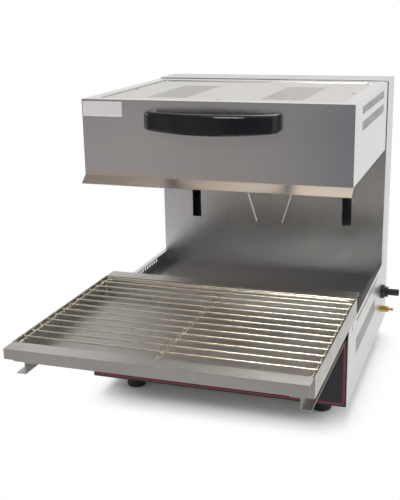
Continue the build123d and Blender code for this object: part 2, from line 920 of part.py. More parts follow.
# ---- handle: moulded bow grip on two legs, bolted from inside the head
handle_end_y = head_front - handle_end_reach + handle_thickness / 2
handle_bow_y = head_front - handle_bow + handle_thickness / 2
with BuildPart() as handle:
    with BuildLine(Plane.XY.offset(handle_centre)) as grip_path:
        Line((-handle_screw_x, head_front), (-handle_screw_x, handle_end_y))
        ThreePointArc((-handle_screw_x, handle_end_y), (0, handle_bow_y), (handle_screw_x, handle_end_y))
        Line((handle_screw_x, handle_end_y), (handle_screw_x, head_front))
        grip_corners = grip_path.vertices().sort_by(Axis.Y)[:2]
        fillet(grip_corners, radius=handle_corner_radius)
    grip_wire = grip_path.wires()[0]
    for place, height in ((0, handle_end_height), (1 / 2, handle_height), (1, handle_end_height)):
        along = grip_wire % place
        hang = Vector(0, 0, (height - handle_end_height) / 2)
        with BuildSketch(Plane(grip_wire @ place - hang, Vector(0, 0, 1).cross(along), along)):
            RectangleRounded(handle_thickness, height, handle_rounding)
    sweep(path=grip_wire, multisection=True)
    with BuildSketch(across(head_front)):
        with Locations(*handle_screw_places):
            Circle(handle_screw_diameter / 2)
    extrude(amount=handle_screw_depth, mode=Mode.SUBTRACT)
save(handle, "handle")

with BuildPart() as handle_screws:
    with BuildSketch(across(head_front + sheet)):
        with Locations(*handle_screw_places):
            Circle(handle_screw_diameter / 2)
    extrude(amount=handle_screw_depth + sheet)
    with BuildSketch(across(head_front + sheet)):
        with Locations(*handle_screw_places):
            Circle(handle_screw_head / 2)
    extrude(amount=-screw_head_height)
save(handle_screws, "handle_screws")

# ---- hot side: trough reflector, insulation, two serpentine elements and their hangers
element_radius = element_diameter / 2
element_half_length = element_length / 2
element_turn = element_pass_pitch / 2 - element_radius / 8
element_half_depth = element_pass_pitch * (element_passes - 1) / 2
element_centres = (hot_centre_y - element_spacing / 2, hot_centre_y + element_spacing / 2)
terminal_places = [
    (-element_half_length, centre + end * element_half_depth)
    for centre in element_centres
    for end in (-1, 1)
]
mouth_half_x = head_half - sheet - reflector_rim
mouth_half_y = (head_rear - head_front) / 2 - sheet - reflector_rim
roof_half_x = mouth_half_x - reflector_slope
roof_half_y = mouth_half_y - reflector_slope


def hot_rectangle(height, half_x, half_y):
    """Rectangle centred over the hot side at a height."""
    with BuildSketch(Plane.XY.offset(height)) as area:
        with Locations((0, hot_centre_y)):
            Rectangle(2 * half_x, 2 * half_y)
    return area.sketch


def terminal_holes(height):
    """Holes for the turned-up element ends."""
    with BuildSketch(Plane.XY.offset(height)) as holes:
        with Locations(*terminal_places):
            Circle(element_radius)
    return holes.sketch


with BuildPart() as reflector:
    loft(
        [
            hot_rectangle(reflector_mouth, mouth_half_x, mouth_half_y).face(),
            hot_rectangle(reflector_roof, roof_half_x, roof_half_y).face(),
        ]
    )
    extrude(
        hot_rectangle(reflector_mouth, mouth_half_x + reflector_rim, mouth_half_y + reflector_rim),
        amount=sheet,
    )
    loft(
        [
            hot_rectangle(reflector_mouth, mouth_half_x - sheet, mouth_half_y - sheet).face(),
            hot_rectangle(reflector_roof - sheet, roof_half_x - sheet, roof_half_y - sheet).face(),
        ],
        mode=Mode.SUBTRACT,
    )
    extrude(terminal_holes(reflector_roof - sheet), amount=sheet, mode=Mode.SUBTRACT)
save(reflector, "reflector")

with BuildPart() as insulation_pad:
    extrude(hot_rectangle(reflector_roof, roof_half_x, roof_half_y), amount=insulation_thickness)
    extrude(terminal_holes(reflector_roof), amount=insulation_thickness, mode=Mode.SUBTRACT)
save(insulation_pad, "insulation_pad")


def heating_element(centre_y):
    """Tubular element: straight passes joined by half turns, both ends turned up at the left."""
    rows = [centre_y - element_half_depth + element_pass_pitch * row for row in range(element_passes)]
    points = [(-element_half_length, rows[0], element_axis + element_terminal_height)]
    for index, row_y in enumerate(rows):
        start = -1 if index % 2 == 0 else 1
        points.append((start * element_half_length, row_y, element_axis))
        points.append((-start * element_half_length, row_y, element_axis))
    points.append((-element_half_length, rows[-1], element_axis + element_terminal_height))
    with BuildPart() as element:
        with BuildLine() as element_path:
            FilletPolyline(*points, radius=element_turn)
        with BuildSketch(Plane(origin=points[0], z_dir=(0, 0, -1))):
            Circle(element_radius)
        sweep(path=element_path.line)
    return element


element_front = heating_element(element_centres[0])
save(element_front, "element_front")
element_rear = heating_element(element_centres[1])
save(element_rear, "element_rear")

with BuildPart() as element_hangers:
    hanger_top = reflector_roof - sheet
    hanger_seat = element_axis - element_radius
    for side in (-1, 1):
        for centre in element_centres:
            hanger_half = element_half_depth + element_radius + hanger_margin
            hanger = bent(
                Plane.YZ.offset(side * hanger_spacing / 2 - hanger_width / 2),
                [
                    (centre - hanger_half, hanger_top),
                    (centre - hanger_half, hanger_seat - hanger_thickness),
                    (centre + hanger_half, hanger_seat - hanger_thickness),
                    (centre + hanger_half, hanger_top),
                ],
                hanger_thickness,
            )
            extrude(hanger, amount=hanger_width)
save(element_hangers, "element_hangers")

# ---- drip tray: folded pan with overhanging front and rear flanges, front lip turned down
with BuildPart() as drip_tray:
    with BuildSketch(Plane.XY.offset(tray_bottom)):
        with Locations((0, (pan_front + pan_rear) / 2)):
            Rectangle(body_width, tray_pan_depth)
    extrude(amount=tray_height)
    offset(amount=-tray_sheet, openings=drip_tray.faces().sort_by(Axis.Z)[-1])
    front_flange = bent(
        Plane.YZ.offset(-half_width + tray_sheet),
        [
            (pan_front + tray_sheet, tray_top),
            (tray_front, tray_top),
            (tray_front, tray_top - tray_lip),
        ],
        tray_sheet,
    )
    extrude(front_flange, amount=body_width - 2 * tray_sheet)
    rear_flange = bent(
        Plane.YZ.offset(-half_width + tray_sheet),
        [
            (tray_rear, tray_top - tray_rear_return),
            (tray_rear, tray_top),
            (pan_rear - tray_sheet, tray_top),
        ],
        tray_sheet,
    )
    extrude(rear_flange, amount=body_width - 2 * tray_sheet)
save(drip_tray, "drip_tray")

with BuildPart() as runner_right:
    runner_section = bent(
        across(pan_front),
        [
            (runner_web + runner_flange, runner_bottom + sheet),
            (runner_web, runner_bottom + sheet),
            (runner_web, tray_bottom),
            (runner_web - runner_top_flange, tray_bottom),
        ],
        sheet,
    )
    extrude(runner_section, amount=-tray_pan_depth)
    tab = box_sketch(
        across(pan_rear - runner_tab_length),
        (runner_web + runner_flange - sheet, runner_bottom + sheet),
        (runner_web + runner_flange, base_top - sheet - runner_tab_clearance),
    )
    extrude(tab, amount=-runner_tab_length)
save(runner_right, "runner_right")

with BuildPart() as runner_left:
    mirror(runner_right.part, about=Plane.YZ)
save(runner_left, "runner_left")

# ---- wire rack: bent rod frame on four legs, welded cross wires and two centre rods
rack_half_x = half_width - tray_sheet - rack_wall_gap
rack_front = pan_front + tray_sheet + rack_wall_gap
rack_rear = pan_rear - tray_sheet - rack_wall_gap
rod_radius = rack_rod_diameter / 2
wire_radius = rack_wire_diameter / 2
wire_axis = tray_top - rack_top_drop - wire_radius
frame_axis = wire_axis - wire_radius - rod_radius + rack_weld_depth
frame_half_x = rack_half_x - rack_wire_overhang - rod_radius
centre_rod_axis = wire_axis - rack_wire_diameter + rack_weld_depth
frame_front = rack_front + rod_radius
frame_rear = rack_rear - rod_radius
frame_centre_y = (frame_front + frame_rear) / 2
wire_pitch = (frame_rear - frame_front) / rack_wire_count
with BuildSketch(Plane.XY.offset(frame_axis)) as frame_outline:
    with Locations((0, frame_centre_y)):
        RectangleRounded(2 * frame_half_x, frame_rear - frame_front, rack_corner_radius)
frame_loop = frame_outline.sketch.face().outer_wire()

with BuildPart() as rack_frame:
    with BuildSketch(Plane(origin=frame_loop @ 0, z_dir=frame_loop % 0)):
        Circle(rod_radius)
    sweep(path=frame_loop)
    with BuildSketch(Plane.XY.offset(pan_floor + seat_clearance)):
        with Locations((0, frame_centre_y)):
            with GridLocations(2 * frame_half_x, frame_rear - frame_front - 2 * rack_leg_inset, 2, 2):
                Circle(wire_radius)
    extrude(amount=frame_axis - pan_floor - seat_clearance)
save(rack_frame, "rack_frame")

with BuildPart() as rack_wires:
    with BuildSketch(Plane.YZ.offset(-rack_half_x)):
        for index in range(rack_wire_count):
            with Locations((frame_rear - wire_pitch * index, wire_axis)):
                Circle(wire_radius)
    extrude(amount=2 * rack_half_x)
    add(rack_frame.part, mode=Mode.SUBTRACT)
save(rack_wires, "rack_wires")

with BuildPart() as rack_centre_rods:
    with BuildSketch(across(frame_front)):
        with Locations((0, centre_rod_axis)):
            with GridLocations(rack_centre_rod_spacing, 0, 2, 1):
                Circle(wire_radius)
    extrude(amount=-(frame_rear - frame_front))
    add(rack_wires.part, mode=Mode.SUBTRACT)
    add(rack_frame.part, mode=Mode.SUBTRACT)
save(rack_centre_rods, "rack_centre_rods")

# ---- controls: regulator with its turning shaft and knob, rocker switch, two pilot lamps
knob_back = front_y - knob_face_gap
with BuildPart() as energy_regulator:
    with BuildSketch(across(panel_back_y)):
        with Locations((knob_x, control_height)):
            Rectangle(regulator_width, regulator_width)
    extrude(amount=-regulator_depth)
    with BuildSketch(across(panel_back_y)):
        with Locations((knob_x, control_height)):
            Circle(shaft_diameter / 2 + guide_running_clearance)
    extrude(amount=-regulator_depth / 2, mode=Mode.SUBTRACT)
save(energy_regulator, "energy_regulator")

with BuildPart() as regulator_shaft:
    shaft_inner = panel_back_y + regulator_depth / 2 - seat_clearance
    shaft_outer = knob_back - knob_height + knob_skirt_height
    with BuildSketch(across(shaft_inner)):
        with Locations((knob_x, control_height)):
            Circle(shaft_diameter / 2)
    extrude(amount=shaft_inner - shaft_outer)
save(regulator_shaft, "regulator_shaft")

with BuildPart() as control_knob:
    with BuildSketch(across(knob_back)):
        with Locations((knob_x, control_height)):
            Circle(knob_diameter / 2)
    extrude(amount=knob_skirt_height)
    with BuildSketch(across(knob_back - knob_skirt_height)):
        with Locations((knob_x, control_height)):
            Circle(knob_grip_diameter / 2)
            Rectangle(knob_grip_width, knob_diameter - knob_skirt_height)
    extrude(amount=knob_height - knob_skirt_height, taper=knob_skirt_height)
    with BuildSketch(across(knob_back)):
        with Locations((knob_x, control_height)):
            Circle(shaft_diameter / 2)
    extrude(amount=knob_back - shaft_outer, mode=Mode.SUBTRACT)
save(control_knob, "control_knob")

with BuildPart() as switch_body:
    opening_width = switch_width - 2 * switch_bezel
    opening_height = switch_height - 2 * switch_bezel
    with BuildSketch(across(front_y)):
        with Locations((switch_x, control_height)):
            Rectangle(switch_width, switch_height)
    extrude(amount=switch_bezel_rise)
    with BuildSketch(across(front_y)):
        with Locations((switch_x, control_height)):
            Rectangle(opening_width, opening_height)
    extrude(amount=-(panel_back_y + switch_body_depth - front_y))
    with BuildSketch(across(front_y - switch_bezel_rise)):
        with Locations((switch_x, control_height)):
            Rectangle(opening_width - 2 * switch_wall, opening_height - 2 * switch_wall)
    extrude(amount=-(switch_bezel_rise + switch_body_depth / 2), mode=Mode.SUBTRACT)
save(switch_body, "switch_body")

rocker_radius = opening_height / 2 - switch_wall - rocker_gap
rocker_width = opening_width - 2 * switch_wall - 2 * rocker_gap
pivot_y = front_y + rocker_pivot_depth
with BuildPart() as switch_rocker:
    rocker_plane = Plane(
        origin=(switch_x - rocker_width / 2, pivot_y, control_height),
        x_dir=Vector(0, 1, 0).rotate(Axis.X, rocker_tilt),
        z_dir=(1, 0, 0),
    )
    rim_z = sqrt(rocker_radius**2 - rocker_rim**2)
    with BuildSketch(rocker_plane):
        with BuildLine():
            Polyline((-rocker_rim, rim_z), (-rocker_valley, 0), (-rocker_rim, -rim_z))
            ThreePointArc((-rocker_rim, -rim_z), (rocker_radius, 0), (-rocker_rim, rim_z))
        make_face()
    extrude(amount=rocker_width)
save(switch_rocker, "switch_rocker")

with BuildPart() as lamp_bezels:
    with BuildSketch(across(front_y)):
        with Locations(*lamp_places):
            Circle(lamp_bezel / 2)
            Circle(lamp_diameter / 2, mode=Mode.SUBTRACT)
    extrude(amount=lamp_bezel_height)
save(lamp_bezels, "lamp_bezels")


def pilot_lamp(place):
    """Domed lens on its lamp body, pushed through the panel."""
    with BuildPart() as lamp:
        with BuildSketch(across(panel_back_y + lamp_depth)):
            with Locations(place):
                Circle(lamp_diameter / 2)
        extrude(amount=panel_back_y + lamp_depth - front_y + lamp_rise)
        front_rim = lamp.edges().sort_by(Axis.Y)[0]
        fillet(front_rim, radius=lamp_rise * 2 / 3)
    return lamp


power_lamp = pilot_lamp(lamp_places[0])
save(power_lamp, "power_lamp")
heating_lamp = pilot_lamp(lamp_places[1])
save(heating_lamp, "heating_lamp")

# ---- electrical entry on the right side: gland, locknut, terminal block, bonding stud
with BuildPart() as terminal_block:
    with BuildSketch(Plane.XY.offset(foot_height + sheet)):
        with Locations((terminal_x, gland_y)):
            Rectangle(terminal_width, terminal_length)
    extrude(amount=terminal_height)
    with BuildSketch(Plane.XY.offset(foot_height + sheet + terminal_height)):
        with Locations((terminal_x, gland_y)):
            with GridLocations(0, terminal_length / terminal_poles, 1, terminal_poles):
                Rectangle(terminal_width / 2, terminal_length / terminal_poles / 2)
    extrude(amount=-terminal_height / 2, mode=Mode.SUBTRACT)
save(terminal_block, "terminal_block")

gland_plane = Plane.YZ.offset(half_width)


def gland_disc(distance, radius):
    """Circle round the gland's axis at a distance outside the side panel."""
    with BuildSketch(gland_plane.offset(distance)) as disc:
        with Locations((gland_y, gland_height)):
            Circle(radius)
    return disc.sketch


gland_length = gland_flange_thickness + gland_hex_length + gland_sleeve_length
with BuildPart() as supply_gland:
    thread_start = -sheet - gland_thread_length
    extrude(gland_disc(thread_start, gland_thread_diameter / 2), amount=-thread_start)
    extrude(gland_disc(0, gland_flange_diameter / 2), amount=gland_flange_thickness)
    with BuildSketch(gland_plane.offset(gland_flange_thickness)):
        with Locations((gland_y, gland_height)):
            RegularPolygon(gland_hex_width / 2, 6, major_radius=False)
    extrude(amount=gland_hex_length)
    extrude(
        gland_disc(gland_flange_thickness + gland_hex_length, gland_sleeve_diameter / 2),
        amount=gland_sleeve_length,
    )
    extrude(
        gland_disc(thread_start, gland_bore_diameter / 2),
        amount=gland_length - thread_start,
        mode=Mode.SUBTRACT,
    )
    sleeve_end = supply_gland.edges().group_by(Axis.X)[-1].sort_by(SortBy.RADIUS)[-1]
    fillet(sleeve_end, radius=(gland_sleeve_diameter - gland_bore_diameter) / 4)
    flange_rim = supply_gland.edges().filter_by(
        lambda edge: edge.geom_type == GeomType.CIRCLE and edge.radius > gland_flange_diameter / 2 - sheet / 2
    )
    fillet(flange_rim.sort_by(Axis.X)[-1], radius=gland_edge_radius)
save(supply_gland, "supply_gland")

with BuildPart() as gland_locknut:
    with BuildSketch(Plane.YZ.offset(inner_half)):
        with Locations((gland_y, gland_height)):
            RegularPolygon(locknut_width / 2, 6, major_radius=False)
            Circle(gland_thread_diameter / 2, mode=Mode.SUBTRACT)
    extrude(amount=-locknut_thickness)
save(gland_locknut, "gland_locknut")

with BuildPart() as earth_stud:
    with BuildSketch(Plane.YZ.offset(inner_half - stud_inner_length)):
        with Locations((stud_y, stud_height)):
            Circle(stud_diameter / 2)
    extrude(amount=stud_inner_length + sheet + stud_reach)
save(earth_stud, "earth_stud")

with BuildPart() as earth_nuts:
    washer_places = [half_width, half_width + stud_washer_thickness + stud_nut_thickness]
    for washer_place in washer_places:
        with BuildSketch(Plane.YZ.offset(washer_place)):
            with Locations((stud_y, stud_height)):
                Circle(stud_washer_diameter / 2)
                Circle(stud_diameter / 2, mode=Mode.SUBTRACT)
        extrude(amount=stud_washer_thickness)
        with BuildSketch(Plane.YZ.offset(washer_place + stud_washer_thickness)):
            with Locations((stud_y, stud_height)):
                RegularPolygon(stud_nut_width / 2, 6, major_radius=False)
                Circle(stud_diameter / 2, mode=Mode.SUBTRACT)
        extrude(amount=stud_nut_thickness)
    with BuildSketch(Plane.YZ.offset(inner_half)):
        with Locations((stud_y, stud_height)):
            RegularPolygon(stud_nut_width / 2, 6, major_radius=False)
            Circle(stud_diameter / 2, mode=Mode.SUBTRACT)
    extrude(amount=-stud_nut_thickness)
save(earth_nuts, "earth_nuts")
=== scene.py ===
from math import cos, pi, radians, sin

import bmesh
import bpy
from mathutils import Matrix, Vector


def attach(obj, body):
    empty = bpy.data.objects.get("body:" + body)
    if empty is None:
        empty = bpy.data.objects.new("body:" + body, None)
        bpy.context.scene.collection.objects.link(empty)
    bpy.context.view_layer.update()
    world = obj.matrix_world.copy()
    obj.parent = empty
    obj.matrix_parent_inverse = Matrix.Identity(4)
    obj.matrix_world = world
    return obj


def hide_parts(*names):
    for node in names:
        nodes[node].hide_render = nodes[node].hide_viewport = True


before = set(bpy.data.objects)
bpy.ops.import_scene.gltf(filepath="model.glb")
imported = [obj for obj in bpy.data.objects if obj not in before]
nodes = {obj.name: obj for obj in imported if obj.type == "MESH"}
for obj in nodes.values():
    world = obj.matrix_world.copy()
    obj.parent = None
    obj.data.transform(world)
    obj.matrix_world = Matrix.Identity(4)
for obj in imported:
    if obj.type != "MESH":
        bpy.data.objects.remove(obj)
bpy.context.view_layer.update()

# Camera.
# Stands at eye height in front and a little to the right, turned slightly on its own axis.
camera_turn = radians(19.114)
camera_tilt = radians(16.023)
camera_roll = radians(-1.07)
camera_stand = (0.4412, -1.5596, 0.6904)
back = Vector((
    sin(camera_turn) * cos(camera_tilt),
    -cos(camera_turn) * cos(camera_tilt),
    sin(camera_tilt),
))
right = Vector((cos(camera_turn), sin(camera_turn), 0.0))
up = back.cross(right)
camera_x = right * cos(camera_roll) + up * sin(camera_roll)
camera_y = up * cos(camera_roll) - right * sin(camera_roll)
camera_data = bpy.data.cameras.new("camera")
camera_data.lens = 64.956
camera_data.sensor_width = 36.0
camera = bpy.data.objects.new("camera", camera_data)
bpy.context.scene.collection.objects.link(camera)
camera.matrix_world = (
    Matrix.Translation(camera_stand)
    @ Matrix((camera_x, camera_y, back)).transposed().to_4x4()
)
bpy.context.scene.camera = camera

# Studio.
# Three soft lamps in a white surround, and cards that are seen only as reflections in the steel.
# The floor keeps the shadow under the machine and fades to plain white a little way out.
bpy.context.scene.view_settings.view_transform = "Standard"


def feed(tree, socket, value):
    """Links another node's output to the socket, or sets a plain value on it."""
    if isinstance(value, bpy.types.NodeSocket):
        tree.links.new(value, socket)
    else:
        socket.default_value = value


def maths(tree, operation, *values):
    step = tree.nodes.new("ShaderNodeMath")
    step.operation = operation
    for socket, value in zip(step.inputs, values):
        feed(tree, socket, value)
    return step.outputs[0]


def mix_out(tree, kind, factor, near, far):
    """Mixes two shaders by the factor into an output node of the given kind."""
    mix = tree.nodes.new("ShaderNodeMixShader")
    for socket, value in zip(mix.inputs, (factor, near, far)):
        tree.links.new(value, socket)
    tree.links.new(mix.outputs[0], tree.nodes.new(kind).inputs[0])


def glow(tree, kind, colour, strength):
    light = tree.nodes.new(kind)
    light.inputs["Color"].default_value = (*colour, 1.0)
    light.inputs["Strength"].default_value = strength
    return light.outputs[0]


world = bpy.data.worlds.new("surround")
bpy.context.scene.world = world
world.use_nodes = True
tree = world.node_tree
tree.nodes.clear()
rays = tree.nodes.new("ShaderNodeLightPath").outputs
seen = maths(tree, "MAXIMUM", rays["Is Camera Ray"], rays["Is Glossy Ray"])
seen = maths(tree, "MAXIMUM", seen, rays["Is Transmission Ray"])
ambient = glow(tree, "ShaderNodeBackground", (0.86, 0.92, 1.0), 0.16)
white = glow(tree, "ShaderNodeBackground", (1.0, 1.0, 1.0), 1.0)
mix_out(tree, "ShaderNodeOutputWorld", seen, ambient, white)


def soft_lamp(name, place, target, size, power, colour):
    lamp = bpy.data.lights.new(name, "AREA")
    lamp.shape = "RECTANGLE"
    lamp.size, lamp.size_y = size
    lamp.energy = power
    lamp.color = colour
    holder = bpy.data.objects.new(name, lamp)
    bpy.context.scene.collection.objects.link(holder)
    holder.location = place
    aim = Vector(target) - Vector(place)
    holder.rotation_euler = aim.to_track_quat("-Z", "Y").to_euler()
    holder.visible_glossy = False


soft_lamp("lamp_front", (-0.1, -2.4, 1.9), (0, -0.25, 0.2), (2.2, 0.6), 30.0, (1.0, 0.99, 0.97))
soft_lamp("lamp_above", (-0.2, 0.0, 2.4), (0, 0, 0.2), (2.2, 2.0), 36.0, (1.0, 0.98, 0.95))
soft_lamp("lamp_right", (2.4, -0.2, 1.7), (0, -0.1, 0.3), (1.4, 1.4), 14.0, (0.93, 0.97, 1.0))


def glow_paint(name, colour=(0.4, 0.4, 0.4), strength=1.0):
    paint = bpy.data.materials.new(name)
    paint.use_nodes = True
    tree = paint.node_tree
    tree.nodes.clear()
    light = glow(tree, "ShaderNodeEmission", colour, strength)
    tree.links.new(light, tree.nodes.new("ShaderNodeOutputMaterial").inputs[0])
    return paint


def upright(start, end, low, high):
    """Corners of an upright sheet over the line from start to end."""
    return [(*start, low), (*end, low), (*end, high), (*start, high)]


def level(corners, height):
    return [(*corner, height) for corner in corners]


def card(name, corners, paint):
    mesh = bpy.data.meshes.new(name)
    mesh.from_pydata(corners, [], [(0, 1, 2, 3)])
    sheet = bpy.data.objects.new(name, mesh)
    bpy.context.scene.collection.objects.link(sheet)
    mesh.materials.append(paint)
    sheet.visible_camera = False
    sheet.visible_diffuse = False
    sheet.visible_shadow = False
    sheet.visible_transmission = False
    sheet.visible_volume_scatter = False


def ramp(tree, source, low, high, a=0.0, b=1.0):
    step = tree.nodes.new("ShaderNodeMapRange")
    for socket, value in zip(step.inputs[:5], (source, low, high, a, b)):
        feed(tree, socket, value)
    return step.outputs["Result"]


def fade(tree, source, low, high):
    """A ramp from 0 to 1 with soft ends."""
    result = ramp(tree, source, low, high)
    result.node.interpolation_type = "SMOOTHSTEP"
    return result


def blend(tree, factor, a, b, way="MIX"):
    mix = tree.nodes.new("ShaderNodeMix")
    mix.data_type = "RGBA"
    mix.blend_type = way
    feed(tree, mix.inputs["Factor"], factor)
    for name, value in (("A", a), ("B", b)):
        feed(tree, mix.inputs[name], (*value, 1.0) if isinstance(value, tuple) else value)
    return mix.outputs["Result"]


def cloud(tree, place, scale, detail):
    noise = tree.nodes.new("ShaderNodeTexNoise")
    feed(tree, noise.inputs["Vector"], place)
    feed(tree, noise.inputs["Scale"], scale)
    feed(tree, noise.inputs["Detail"], detail)
    return noise.outputs["Fac"]


def split(tree, vector):
    apart = tree.nodes.new("ShaderNodeSeparateXYZ")
    tree.links.new(vector, apart.inputs[0])
    return apart.outputs


front_paint = glow_paint("front_card")
tree = front_paint.node_tree
place = tree.nodes.new("ShaderNodeTexCoord").outputs["Object"]
across, _, high = split(tree, place)
left_grey, warm_grey, cool_grey = (0.465, 0.435, 0.43), (0.375, 0.352, 0.345), (0.225, 0.25, 0.285)
left_fade, cool_fade = (-0.62, -0.20), (-0.06, 0.09)
height_fade, haze_fade = (0.34, 0.42), (0.3, 0.7)
haze = cloud(tree, place, 4.0, 1.0)
tone = blend(tree, fade(tree, across, *left_fade), left_grey, warm_grey)
tone = blend(tree, fade(tree, across, *cool_fade), tone, cool_grey)
lit = blend(tree, fade(tree, haze, *haze_fade), (0.80, 0.80, 0.82), (1.15, 1.14, 1.13))
shade = blend(tree, fade(tree, high, *height_fade), (1.0, 1.0, 1.0), (0.70, 0.72, 0.74))
for factor in (lit, shade):
    tone = blend(tree, 1.0, tone, factor, "MULTIPLY")
tree.links.new(tone, tree.nodes["Emission"].inputs["Color"])

front_left, front_right, front_y = -1.6, 1.2, -1.1
foot_left, foot_right, foot_y = -1.2, 0.7, -0.56
lamp_glow = 26.0
card("front_card", upright((front_left, front_y), (front_right, front_y), 0.0, 2.6), front_paint)
floor_card_corners = [
    (front_left, front_y), (front_right, front_y), (foot_right, foot_y), (foot_left, foot_y),
]
card("floor_card", level(floor_card_corners, 0.002), glow_paint("floor_card", (0.64, 0.63, 0.62)))
card("lamp_card_middle", upright((-0.20, -1.05), (0.12, -1.05), 0.92, 1.22),
     glow_paint("lamp_card_middle", (1.0, 1.0, 1.0), lamp_glow))
card("lamp_card_left", upright((-1.0, -0.40), (-1.0, -0.62), 0.82, 1.09),
     glow_paint("lamp_card_left", (1.0, 1.0, 1.0), lamp_glow))

ceiling_paint = glow_paint("ceiling_card")
tree = ceiling_paint.node_tree
across, _, _ = split(tree, tree.nodes.new("ShaderNodeTexCoord").outputs["Object"])
tree.links.new(
    blend(tree, fade(tree, across, -0.50, -0.05), (0.29, 0.285, 0.285), (1.10, 0.96, 0.84)),
    tree.nodes["Emission"].inputs["Color"],
)
card("ceiling_card", level([(-1.4, -0.8), (0.7, -0.8), (0.7, 0.35), (-1.4, 0.35)], 1.1),
     ceiling_paint)


def joined(tree, x, y, z):
    join = tree.nodes.new("ShaderNodeCombineXYZ")
    for socket, value in zip(join.inputs, (x, y, z)):
        feed(tree, socket, value)
    return join.outputs[0]


floor_reach = 6
paleness, paler_to_camera, paler_in_steel = 0.78, 0.85, 0.20
shadow_reach, white_from, white_to = 0.17, 0.015, 0.11
floor_corners = [
    (floor_reach * x, floor_reach * y) for x, y in ((-1, -1), (1, -1), (1, 1), (-1, 1))
]
floor_mesh = bpy.data.meshes.new("floor")
floor_mesh.from_pydata(level(floor_corners, 0), [], [(0, 1, 2, 3)])
floor = bpy.data.objects.new("floor", floor_mesh)
bpy.context.scene.collection.objects.link(floor)
floor_paint = bpy.data.materials.new("floor")
floor_paint.use_nodes = True
tree = floor_paint.node_tree
tree.nodes.clear()
rays = tree.nodes.new("ShaderNodeLightPath").outputs
pale = maths(tree, "MULTIPLY_ADD", rays["Is Camera Ray"], paler_to_camera, paleness)
pale = maths(tree, "MULTIPLY_ADD", rays["Is Glossy Ray"], paler_in_steel, pale)
matt = tree.nodes.new("ShaderNodeBsdfDiffuse")
tree.links.new(pale, matt.inputs["Color"])
across, deep, _ = split(tree, tree.nodes.new("ShaderNodeTexCoord").outputs["Object"])
beyond = [
    maths(tree, "MAXIMUM", maths(tree, "SUBTRACT", maths(tree, "ABSOLUTE", way), shadow_reach), 0.0)
    for way in (across, deep)
]
away = tree.nodes.new("ShaderNodeVectorMath")
away.operation = "LENGTH"
tree.links.new(joined(tree, *beyond, 0.0), away.inputs[0])
seen = maths(tree, "MAXIMUM", rays["Is Camera Ray"], rays["Is Glossy Ray"])
far = maths(tree, "MULTIPLY", fade(tree, away.outputs["Value"], white_from, white_to), seen)
open_floor = glow(tree, "ShaderNodeEmission", (1.0, 1.0, 1.0), 1.0)
mix_out(tree, "ShaderNodeOutputMaterial", far, matt.outputs[0], open_floor)
floor_mesh.materials.append(floor_paint)


